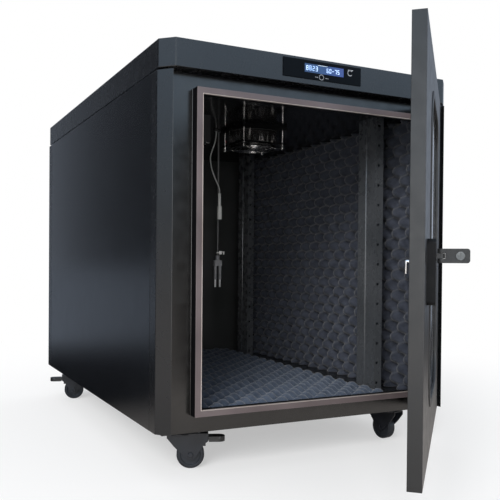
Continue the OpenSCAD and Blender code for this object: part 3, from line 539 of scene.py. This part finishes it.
def lathe(profile, sides):
    """Vertices and faces of a closed turned shape about Z; profile is (radius, z) from bottom to top."""
    verts = []
    faces = []
    for r, z in profile:
        for k in range(sides):
            a = 2 * math.pi * k / sides
            verts.append(Vector((r * math.cos(a), r * math.sin(a), z)))
    for i in range(len(profile) - 1):
        for k in range(sides):
            n = (k + 1) % sides
            faces.append((i * sides + k, i * sides + n, (i + 1) * sides + n, (i + 1) * sides + k))
    faces.append(tuple(reversed(range(sides))))
    faces.append(tuple(range((len(profile) - 1) * sides, len(profile) * sides)))
    return verts, faces


def aimed(verts, place, axis):
    """Points made about Z, turned so that +Z points along axis and moved to place."""
    turn = Vector((0, 0, 1)).rotation_difference(Vector(axis)).to_matrix()
    return [Vector(place) + turn @ v for v in verts]


def joined(parts):
    """One vertex and face list from several."""
    verts = []
    faces = []
    for part_verts, part_faces in parts:
        base = len(verts)
        verts += list(part_verts)
        faces += [tuple(base + i for i in f) for f in part_faces]
    return verts, faces


def screw_head(place, axis, r, h):
    """A pan head with a hexagon socket, seated on a surface whose outward normal is axis."""
    sides = 20
    profile = [(r, 0.0), (r, h * 0.45), (r * 0.86, h * 0.85), (r * 0.55, h)]
    verts, faces = lathe(profile, sides)
    faces = faces[:-1]
    rim = (len(profile) - 1) * sides
    base = len(verts)
    for depth in (h, h * 0.35):
        for k in range(sides):
            a = 2 * math.pi * k / sides
            flat = 0.42 * r / math.cos(((a + math.pi / 6) % (math.pi / 3)) - math.pi / 6)
            verts.append(Vector((flat * math.cos(a), flat * math.sin(a), depth)))
    for k in range(sides):
        n = (k + 1) % sides
        faces.append((rim + k, rim + n, base + n, base + k))
        faces.append((base + k, base + n, base + sides + n, base + sides + k))
    faces.append(tuple(base + sides + k for k in range(sides)))
    return aimed(verts, place, axis), faces


def hex_nut(place, axis, r, h):
    """A chamfered hexagon nut or bolt head."""
    verts = []
    faces = []
    for z, k in ((0.0, 1.0), (h * 0.8, 1.0), (h, 0.86)):
        for i in range(6):
            a = math.pi * i / 3
            verts.append(Vector((k * r * math.cos(a), k * r * math.sin(a), z)))
    for j in range(2):
        for i in range(6):
            n = (i + 1) % 6
            faces.append((j * 6 + i, j * 6 + n, (j + 1) * 6 + n, (j + 1) * 6 + i))
    faces.append(tuple(reversed(range(6))))
    faces.append(tuple(range(12, 18)))
    return aimed(verts, place, axis), faces


# ---------- Cords ----------
# Routes in millimetres, as in the CAD model
SENSOR_ROUTE = [(-26, -40, 632), (-26, -40, 622), (-28.5, -38.8, 604), (-34, -36, 586), (-38, -34, 568),
                (-37, -34.5, 550), (-33, -36.5, 532), (-27, -39.5, 514), (-20, -42.5, 498), (-17, -44, 486),
                (-17, -44, 478)]
POWER_ROUTE = [(-14, -29, 632), (-14, -29, 600), (-14, -29, 570), (-14, -29, 540), (-14, -29, 510),
               (-14, -29, 480), (-14, -29, 450), (-14, -29, 420), (-14, -29, 390), (-14, -29, 360),
               (-14, -29, 324)]


def catmull(a, b, c, d, t):
    """Point between b and c on the curve that passes through all four."""
    bend = (2 * a - 5 * b + 4 * c - d) * t * t
    twist = (3 * b - a - 3 * c + d) * t ** 3
    return 0.5 * ((2 * b) + (c - a) * t + bend + twist)


def smooth_route(route, steps):
    points = [Vector(p) * MM for p in route]
    ends = [points[0]] + points + [points[-1]]
    made = []
    for i in range(len(points) - 1):
        made += [catmull(*ends[i:i + 4], k / steps) for k in range(steps)]
    return made + [points[-1]]


def cord_curve(name, route, diameter, material, node):
    """A free lead: one open spline with a round section along its route."""
    points = smooth_route(route, 3)
    data = bpy.data.curves.new(name, "CURVE")
    data.dimensions = "3D"
    data.bevel_depth = diameter / 2
    data.bevel_resolution = 4
    data.use_fill_caps = True
    spline = data.splines.new("POLY")
    spline.points.add(len(points) - 1)
    for target, point in zip(spline.points, points):
        target.co = (*point, 1)
    spline.use_smooth = True
    lead = bpy.data.objects.new(name, data)
    bpy.context.scene.collection.objects.link(lead)
    data.materials.append(MATERIALS[material])
    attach(lead, "cabinet")
    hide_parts(node)
    return lead, points


def cord_tie():
    """A cable tie with its head and tail, round the dark lead just above its plug."""
    sides = 20
    around = [(0.0031, -0.0016), (0.0036, -0.0016), (0.0036, 0.0016), (0.0031, 0.0016)]
    band, band_faces = lathe(around, sides)
    band_faces = band_faces[:-2]
    last = (len(around) - 1) * sides
    for k in range(sides):
        n = (k + 1) % sides
        band_faces.append((last + k, last + n, n, k))
    centre = Vector((-14, -29, 331)) * MM
    out = Vector((0.92, -0.39, 0)).normalized()
    head = box_at(centre + out * 0.0068, (0.0064, 0.0056, 0.0080), out)
    tail = box_at(centre + out * 0.0130 + Vector((0, 0, 0.0020)), (0.0080, 0.0034, 0.0016), out)
    fold = box_at(centre + out * 0.0150 + Vector((0, 0, -0.0010)), (0.0030, 0.0046, 0.0070), out)
    return joined([([centre + v for v in band], band_faces), head, tail, fold])


def box_at(centre, size, along):
    """A box about a centre whose first side runs along a horizontal direction."""
    side = Vector((0, 0, 1)).cross(along).normalized()
    axes = (along * size[0] / 2, side * size[1] / 2, Vector((0, 0, size[2] / 2)))
    verts = [centre + a * axes[0] + b * axes[1] + c * axes[2]
             for a in (-1, 1) for b in (-1, 1) for c in (-1, 1)]
    faces = [(0, 1, 3, 2), (4, 6, 7, 5), (0, 4, 5, 1), (2, 3, 7, 6), (0, 2, 6, 4), (1, 5, 7, 3)]
    return verts, faces


def build_cords():
    tie = piece("power_lead_tie", mesh_from("power_lead_tie", *cord_tie(), smooth=False),
                "white_plastic", "cabinet")
    round_edges(tie, 0.0004)
    sensor, sensor_points = cord_curve("sensor_cord", SENSOR_ROUTE, SENSOR_WIDTH, "grey_cord",
                                       "sensor_lead")
    power, power_points = cord_curve("power_cord", POWER_ROUTE, POWER_WIDTH, "dark_cord", "power_lead")


# ---------- Foam ----------
def egg_crate(name, origin, along, across, out, length, width, low, high):
    """A convoluted foam sheet: staggered round peaks on one face, flat on its back and sides.

    origin is a corner of its back; along, across and out are unit vectors.
    """
    step = FOAM_PITCH / 10
    n = round(length / step)
    m = round(width / step)
    origin = Vector(origin)
    along = Vector(along)
    across = Vector(across)
    out = Vector(out)
    verts = []
    for i in range(n + 1):
        for j in range(m + 1):
            u = length * i / n
            v = width * j / m
            wave = math.cos(2 * math.pi * u / FOAM_PITCH) * math.cos(2 * math.pi * v / FOAM_PITCH)
            sag = 0.0012 * math.sin(7.3 * u + 3.1 * v) * math.sin(4.7 * v + 1.3)
            crown = 0.5 + 0.5 * math.sin(0.5 * math.pi * wave)
            height = low + (high - low) * crown + sag * crown
            verts.append(origin + along * u + across * v + out * height)
    top = len(verts)
    faces = [(i * (m + 1) + j, (i + 1) * (m + 1) + j, (i + 1) * (m + 1) + j + 1, i * (m + 1) + j + 1)
             for i in range(n) for j in range(m)]
    rim = [i * (m + 1) for i in range(n + 1)] + [n * (m + 1) + j for j in range(1, m + 1)]
    rim += [i * (m + 1) + m for i in range(n - 1, -1, -1)] + [j for j in range(m - 1, 0, -1)]
    for index in rim:
        i, j = divmod(index, m + 1)
        verts.append(origin + along * (length * i / n) + across * (width * j / m))
    count = len(rim)
    faces += [(rim[k], rim[(k + 1) % count], top + (k + 1) % count, top + k) for k in range(count)]
    faces.append(tuple(range(top, top + count)))
    return mesh_from(name, verts, faces)


def build_foam():
    low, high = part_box("floor_foam")
    rise = high.z - low.z
    floor = piece("floor_egg_crate",
                  egg_crate("floor_egg_crate", (low.x, low.y, low.z), (1, 0, 0), (0, 1, 0), (0, 0, 1),
                            high.x - low.x, high.y - low.y, 0.25 * rise, rise),
                  "foam_floor_painted_light", "cabinet", replaces=["floor_foam"])
    low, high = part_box("wall_foams")
    valley = 0.010
    left = egg_crate("wall_left", (low.x, low.y, low.z), (0, 1, 0), (0, 0, 1), (1, 0, 0),
                     high.y - low.y, high.z - low.z, valley, WALL_FOAM)
    right = egg_crate("wall_right", (high.x, low.y, low.z), (0, 1, 0), (0, 0, 1), (-1, 0, 0),
                      high.y - low.y, high.z - low.z, valley, WALL_FOAM)
    for name, mesh in (("wall_egg_crate_left", left), ("wall_egg_crate_right", right)):
        sheet = piece(name, mesh, "foam", "cabinet", replaces=["wall_foams"])


# ---------- Display ----------
SEGMENTS = {
    "0": "abcdef", "2": "abged", "3": "abgcd", "5": "afgcd", "6": "afgedc", "7": "abc", "8": "abcdefg",
    "-": "g",
}
MARK_DEPTH = 0.0002


def bar(x0, z0, x1, z1, y, depth=MARK_DEPTH):
    """A thin raised strip that faces forward, from corner to corner."""
    corners = ((x0, z0), (x1, z0), (x1, z1), (x0, z1))
    verts = [Vector((x, yy, z)) for yy in (y, y - depth) for x, z in corners]
    faces = [(0, 1, 2, 3), (7, 6, 5, 4), (0, 4, 5, 1), (1, 5, 6, 2), (2, 6, 7, 3), (3, 7, 4, 0)]
    return verts, faces


def digit(figure, x, z, w, h, stroke, y):
    """A seven-segment figure with its lower left corner at x, z."""
    gap = stroke * 0.3
    mid = z + h / 2
    places = {
        "a": (x + gap, z + h - stroke, x + w - gap, z + h),
        "g": (x + gap, mid - stroke / 2, x + w - gap, mid + stroke / 2),
        "d": (x + gap, z, x + w - gap, z + stroke),
        "f": (x, mid + gap, x + stroke, z + h - gap),
        "b": (x + w - stroke, mid + gap, x + w, z + h - gap),
        "e": (x, z + gap, x + stroke, mid - gap),
        "c": (x + w - stroke, z + gap, x + w, mid - gap),
    }
    return [bar(*places[s], y) for s in SEGMENTS[figure]]


def ring_mark(x, z, r, stroke, y, sides=40, start=0.0, sweep=360.0):
    """A flat ring, or part of one, on the display strip."""
    verts = []
    faces = []
    for i in range(sides + 1):
        turn = math.radians(start + sweep * i / sides)
        for rr in (r - stroke / 2, r + stroke / 2):
            for yy in (y, y - MARK_DEPTH):
                verts.append(Vector((x + rr * math.cos(turn), yy, z + rr * math.sin(turn))))
    for i in range(sides):
        a = 4 * i
        b = a + 4
        for p, q in ((0, 1), (1, 3), (3, 2), (2, 0)):
            faces.append((a + p, b + p, b + q, a + q))
    if sweep < 360:
        end = 4 * sides
        faces += [(0, 1, 3, 2), (end, end + 2, end + 3, end + 1)]
    return verts, faces


def build_display():
    """Two groups of figures on the screen and a painted highlight along its top edge; a touch key, an icon
    and small marks on the strip.
    """
    screen_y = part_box("lcd_module")[0].y
    strip_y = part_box("display_bezel")[0].y
    figures_z = 0.6758
    glyphs = []
    for x, figures, tall in ((-0.0385, "8823", 0.0095), (0.0080, "60-75", 0.0085)):
        wide = tall * 0.54
        for figure in figures:
            glyphs += digit(figure, x, figures_z, wide, tall, tall * 0.15, screen_y)
            x += wide + tall * 0.2
    piece("display_figures", mesh_from("display_figures", *joined(glyphs), smooth=False),
          "display_white", "cabinet")
    # A thin emissive bar along the top of the screen: a painted highlight, for a glint at the bezel's top
    # edge.
    highlight_bars = [bar(-0.012, 0.6874, 0.010, 0.6882, screen_y)]
    piece("display_painted_top_highlight", mesh_from("display_painted_top_highlight", *joined(highlight_bars), smooth=False),
          "display_painted_highlight", "cabinet")
    marks = [ring_mark(-0.004, 0.6655, 0.0050, 0.0011, strip_y),
             ring_mark(0.0625, 0.6820, 0.0052, 0.0016, strip_y, 24, 40, 280),
             bar(0.0575, 0.6870, 0.0700, 0.6884, strip_y)]
    dashes = ((-0.0185, -0.0150), (-0.0145, -0.0120), (0.0050, 0.0085), (0.0095, 0.0120))
    marks += [bar(left, 0.6640, right, 0.6652, strip_y) for left, right in dashes]
    piece("display_touch_marks", mesh_from("display_touch_marks", *joined(marks), smooth=False),
          "mark_grey", "cabinet")


# ---------- Pilot lamp ----------
def build_lamp():
    """A domed red lens in a short black turned holder."""
    low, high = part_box("indicator_lamp")
    centre = Vector(((low.x + high.x) / 2, (low.y + high.y) / 2, low.z))
    sides = 28
    profile = [(0.0015, 0.0), (0.0028, 0.0006), (0.0037, 0.0018), (0.0040, 0.0034), (0.0040, 0.0085)]
    verts, faces = lathe(profile, sides)
    lens = piece("pilot_lens", mesh_from("pilot_lens", [centre + v for v in verts], faces),
                 "red_lens", "cabinet", replaces=["indicator_lamp"])
    smooth_by_angle(lens, 50)
    body = [(0.0052, 0.0080), (0.0060, 0.0088), (0.0060, 0.0180), (0.0050, 0.0186), (0.0050, high.z - low.z)]
    verts, faces = lathe(body, sides)
    holder = piece("pilot_holder", mesh_from("pilot_holder", [centre + v for v in verts], faces),
                   "black_plastic", "cabinet", replaces=["indicator_lamp"])
    smooth_by_angle(holder)


# ---------- Gasket ----------
def build_gasket_lip():
    """The seal's pale inner lip, which lines the edge of the opening."""
    low_z, high_z = OPENING_Z
    thick = 0.0011
    deep = 0.006
    proud = 0.0002
    parts = []
    for x in (-OPENING_HALF, OPENING_HALF):
        inner = x - math.copysign(thick, x)
        parts.append((min(x, inner), low_z, max(x, inner), high_z))
    parts.append((-OPENING_HALF + thick, high_z - thick, OPENING_HALF - thick, high_z))
    parts.append((-OPENING_HALF + thick, low_z, OPENING_HALF - thick, low_z + thick))
    strips = [bar(x0, z0, x1, z1, GASKET_FACE + deep, deep + proud) for x0, z0, x1, z1 in parts]
    lip = piece("gasket_inner_lip", mesh_from("gasket_inner_lip", *joined(strips), smooth=False),
                "gasket_lip", "cabinet")
    round_edges(lip, 0.0002)


# ---------- Fasteners ----------
def zinc_screws(name, heads):
    """One piece from several screw heads, fixed to the cabinet."""
    screws = piece(name, mesh_from(name, *joined(heads)), "zinc", "cabinet")
    smooth_by_angle(screws)


def build_screws():
    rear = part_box("rear_panel")[1].y
    spots = [(side * 0.262, z) for side in (-1, 1) for z in (0.045, 0.235, 0.425, 0.615)]
    spots += [(side * 0.090, z) for side in (-1, 1) for z in (0.020, 0.630)]
    zinc_screws("rear_panel_screws", [screw_head((x, rear, z), (0, 1, 0), 0.0045, 0.0024) for x, z in spots])

    lid_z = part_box("junction_box")[0].z
    zinc_screws("junction_box_screws", [screw_head((x, y, lid_z), (0, 0, -1), 0.0025, 0.0015)
                                        for x in (-0.160, -0.113) for y in (-0.185, -0.125)])

    strike_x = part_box("latch_keeper")[0].x + 0.0015
    strike_y = -0.4610
    zinc_screws("latch_keeper_screws", [screw_head((strike_x, strike_y, z), (1, 0, 0), 0.0026, 0.0012)
                                        for z in (0.2925, 0.3280)])

    lug_y = FRAME_Y - 0.003
    spots = [(x, z + offset) for z in (0.075, 0.570) for x in (0.276, 0.288) for offset in (-0.0145, 0.0145)]
    zinc_screws("hinge_screws", [screw_head((x, lug_y, z), (0, -1, 0), 0.0030, 0.0016) for x, z in spots])


def build_caster_bolts(name):
    """A caster's two axle nuts, on its fork, and its four plate bolts, on the cabinet."""
    nuts = []
    for side in (-1, 1):
        verts, faces = hex_nut((TRAIL, side * FORK_SIDE, AXLE_Z), (0, side, 0), 0.0055, 0.0030)
        nuts.append((caster_to_row(name, verts), faces))
    axle = piece(f"{name}_axle_nuts", mesh_from(f"{name}_axle_nuts", *joined(nuts), smooth=False),
                 "fork_steel", f"{name}_fork")
    round_edges(axle, NUT_EDGE)
    x, y, _ = CASTERS[name]
    bolts = [hex_nut((x + u, y + v, PLATE_Z), (0, 0, -1), 0.0048, 0.0026)
             for u in (-0.031, 0.031) for v in (-0.025, 0.025)]
    plate = piece(f"{name}_plate_bolts", mesh_from(f"{name}_plate_bolts", *joined(bolts), smooth=False),
                  "fork_steel", "cabinet")
    round_edges(plate, NUT_EDGE)


# ---------- CAD nodes: materials and broken edges ----------
FINISHES = {
    "ceiling_panel": "gloss_sheet",
    "front_frame": "frame_coat_and_lip_shade",
    "door_pan": "door_coat",
    "front_uprights": "upright_coat_painted_sheen",
    "rear_uprights": "upright_coat_painted_sheen",
    "handle_escutcheon": "escutcheon_black",
    "rear_liner": "liner_back",
    "junction_box": "wiring_black",
    "power_plug": "plug_grey",
    "left_side_panel": "side_coat",
    "right_side_panel": "side_coat",
}
EDGES = {
    "base_frame": 0.0006, "base_plate": 0.0005, "floor_panel": 0.0006, "front_posts": 0.0009,
    "rear_posts": 0.0009, "front_frame": 0.0006, "door_gasket": 0.0007, "left_side_panel": 0.0005,
    "right_side_panel": 0.0005,
    "rear_panel": 0.0006, "ceiling_panel": 0.0006, "roof_cap": 0.0011, "display_bezel": 0.0005,
    "front_uprights": 0.0006, "rear_uprights": 0.0006, "fan_frame": 0.0006, "junction_box": 0.0012,
    "sensor_connector": 0.0008, "power_plug": 0.0006, "frame_hinges": 0.0008, "latch_keeper": 0.0003,
    "door_pan": 0.0005, "window_trim": 0.0006, "door_hinge_leaves": 0.0006, "handle_escutcheon": 0.0016,
    "latch_cam": 0.0006, "handle_lever": 0.0022, "caster_rails": 0.0008, "caster_plates": 0.0005,
}
CASTER_EDGES = {"fork": 0.0005, "wheel": 0.0009, "brake": 0.0011}
NUT_EDGE = 0.0003


def dress_cad_nodes():
    slots = {part["node"]: part["material_slot"] for part in frame["record"]["subparts"]}
    for name, obj in frame["nodes"].items():
        finish = FINISHES.get(name, slots[name])
        obj.data.materials.clear()
        obj.data.materials.append(MATERIALS[finish])
        width = EDGES.get(name)
        for part, caster_width in CASTER_EDGES.items():
            if name.endswith("_" + part):
                width = caster_width
        if width:
            round_edges(obj, width)


# ---------- Studio ----------
SKY = 0.70
ROOM = 1.5
# Colours that polished faces see: by height in front, by side behind, and along the floor
ROOM_FRONT = ((-0.45, (0.80, 0.72, 0.66)), (-0.20, (0.68, 0.62, 0.58)), (0.0, (0.30, 0.31, 0.31)),
              (0.14, (0.42, 0.52, 0.60)), (0.26, (0.75, 0.98, 1.25)))
ROOM_BEHIND = ((-0.29, (0.003, 0.003, 0.004)), (-0.235, (0.008, 0.009, 0.011)),
               (-0.21, (0.030, 0.034, 0.041)), (-0.19, (0.12, 0.14, 0.17)), (-0.165, (0.30, 0.34, 0.41)))
FLOOR_IN_GLOSS = ((-1.2, (0.96, 0.88, 0.82)), (-0.3, (0.60, 0.56, 0.53)), (0.3, (0.006, 0.006, 0.007)),
                  (1.1, (0.012, 0.013, 0.016)), (1.5, (0.07, 0.08, 0.095)), (2.0, (0.20, 0.23, 0.28)))
FLOOR_HALF = 40.0
# The floor turns white between these distances from the middle
FLOOR_FADE = (0.5, 1.9)
SUN_POWER = 2.6
SUN_AIM = (0.62, 0.62, -0.46)
SUN_SPREAD = 30
WINDOW_PLACE = (-1.4, -3.6, 0.60)
WINDOW_AIM = (0, 0, 0.3)
WINDOW_SIZE = (3.2, 1.6)
WINDOW_POWER = 60


def build_sky():
    """A white backdrop that lights softly.

    Polished faces see a room instead: cool above, warm below and dim behind.
    """
    world = bpy.data.worlds.new("studio")
    world.use_nodes = True
    tree = world.node_tree
    links = tree.links
    output = tree.nodes["World Output"]
    seen = tree.nodes["Background"]
    seen.inputs["Color"].default_value = (1, 1, 1, 1)
    seen.inputs["Strength"].default_value = 1.0
    soft = add_node(tree, "ShaderNodeBackground", Color=(0.95, 0.97, 1.0, 1), Strength=SKY)
    room = add_node(tree, "ShaderNodeBackground", Strength=ROOM)
    coords = tree.nodes.new("ShaderNodeTexCoord")
    split = tree.nodes.new("ShaderNodeSeparateXYZ")
    links.new(coords.outputs["Generated"], split.inputs["Vector"])
    front = stops(tree, split.outputs["Z"], -1, 1, ROOM_FRONT)
    behind = stops(tree, split.outputs["X"], -0.5, 0.5, ROOM_BEHIND)
    side = stops(tree, split.outputs["Y"], -1, 1, ((-0.15, (0, 0, 0)), (0.15, (1, 1, 1))))
    links.new(mixed(tree, side, front, behind), room.inputs["Color"])
    path = tree.nodes.new("ShaderNodeLightPath")
    bounce = tree.nodes.new("ShaderNodeMixShader")
    links.new(path.outputs["Is Glossy Ray"], bounce.inputs["Fac"])
    links.new(soft.outputs["Background"], bounce.inputs[1])
    links.new(room.outputs["Background"], bounce.inputs[2])
    final = tree.nodes.new("ShaderNodeMixShader")
    links.new(path.outputs["Is Camera Ray"], final.inputs["Fac"])
    links.new(bounce.outputs["Shader"], final.inputs[1])
    links.new(seen.outputs["Background"], final.inputs[2])
    links.new(final.outputs["Shader"], output.inputs["Surface"])
    bpy.context.scene.world = world


def floor_paint():
    """Pale matt floor that runs out into the white backdrop; polished faces see it dimmer, as the room is."""
    paint, tree, bsdf = new_material("studio_floor")
    bsdf.inputs["Roughness"].default_value = 0.95
    bsdf.inputs["Specular IOR Level"].default_value = 0.0
    coords = tree.nodes.new("ShaderNodeTexCoord")
    path = tree.nodes.new("ShaderNodeLightPath")
    dim = stops(tree, axis_of(tree, "Y"), -3, 3, FLOOR_IN_GLOSS)
    shade = mixed(tree, path.outputs["Is Glossy Ray"], (0.93, 0.93, 0.93), dim)
    tree.links.new(shade, bsdf.inputs["Base Color"])
    far = tree.nodes.new("ShaderNodeVectorMath")
    far.operation = "LENGTH"
    tree.links.new(coords.outputs["Object"], far.inputs[0])
    fade = add_node(tree, "ShaderNodeMapRange", From_Min=FLOOR_FADE[0], From_Max=FLOOR_FADE[1], To_Min=0.45)
    fade.interpolation_type = "SMOOTHSTEP"
    tree.links.new(far.outputs["Value"], fade.inputs["Value"])
    lit = add_node(tree, "ShaderNodeEmission", Color=(1, 1, 1, 1), Strength=1.0)
    pure = tree.nodes.new("ShaderNodeMath")
    pure.operation = "MULTIPLY"
    tree.links.new(fade.outputs["Result"], pure.inputs[0])
    tree.links.new(path.outputs["Is Camera Ray"], pure.inputs[1])
    blend = tree.nodes.new("ShaderNodeMixShader")
    tree.links.new(pure.outputs["Value"], blend.inputs["Fac"])
    tree.links.new(bsdf.outputs["BSDF"], blend.inputs[1])
    tree.links.new(lit.outputs["Emission"], blend.inputs[2])
    tree.links.new(blend.outputs["Shader"], tree.nodes["Material Output"].inputs["Surface"])
    return paint


def add_light(name, kind, aim):
    """A lamp that shines along a direction."""
    data = bpy.data.lights.new(name, kind)
    lamp = bpy.data.objects.new(name, data)
    lamp.rotation_euler = Vector(aim).to_track_quat("-Z", "Y").to_euler()
    bpy.context.scene.collection.objects.link(lamp)
    return lamp, data


def build_studio():
    """A pale plain floor, a white backdrop, a broad sun and one large window light."""
    corners = ((-FLOOR_HALF, -FLOOR_HALF), (FLOOR_HALF, -FLOOR_HALF), (FLOOR_HALF, FLOOR_HALF),
               (-FLOOR_HALF, FLOOR_HALF))
    verts = [(x, y, GROUND) for x, y in corners]
    mesh = mesh_from("studio_floor", verts, [(0, 1, 2, 3)], smooth=False)
    floor = bpy.data.objects.new("studio_floor", mesh)
    bpy.context.scene.collection.objects.link(floor)
    floor.data.materials.append(floor_paint())

    build_sky()
    sun_lamp, sun = add_light("sun", "SUN", SUN_AIM)
    sun.energy = SUN_POWER
    sun.angle = math.radians(SUN_SPREAD)
    # Its mirror image would whiten every polished face turned towards it
    sun_lamp.visible_glossy = False
    window_lamp, window = add_light("window", "AREA", Vector(WINDOW_AIM) - Vector(WINDOW_PLACE))
    window.shape = "RECTANGLE"
    window.size, window.size_y = WINDOW_SIZE
    window.energy = WINDOW_POWER
    window_lamp.location = WINDOW_PLACE
    window_lamp.visible_camera = False


add_camera()
MATERIALS = build_materials()
build_cords()
dress_cad_nodes()
build_foam()
build_display()
build_lamp()
build_gasket_lip()
build_screws()
for caster in CASTERS:
    build_caster_bolts(caster)
build_studio()

bpy.context.scene.view_settings.view_transform = "Standard"
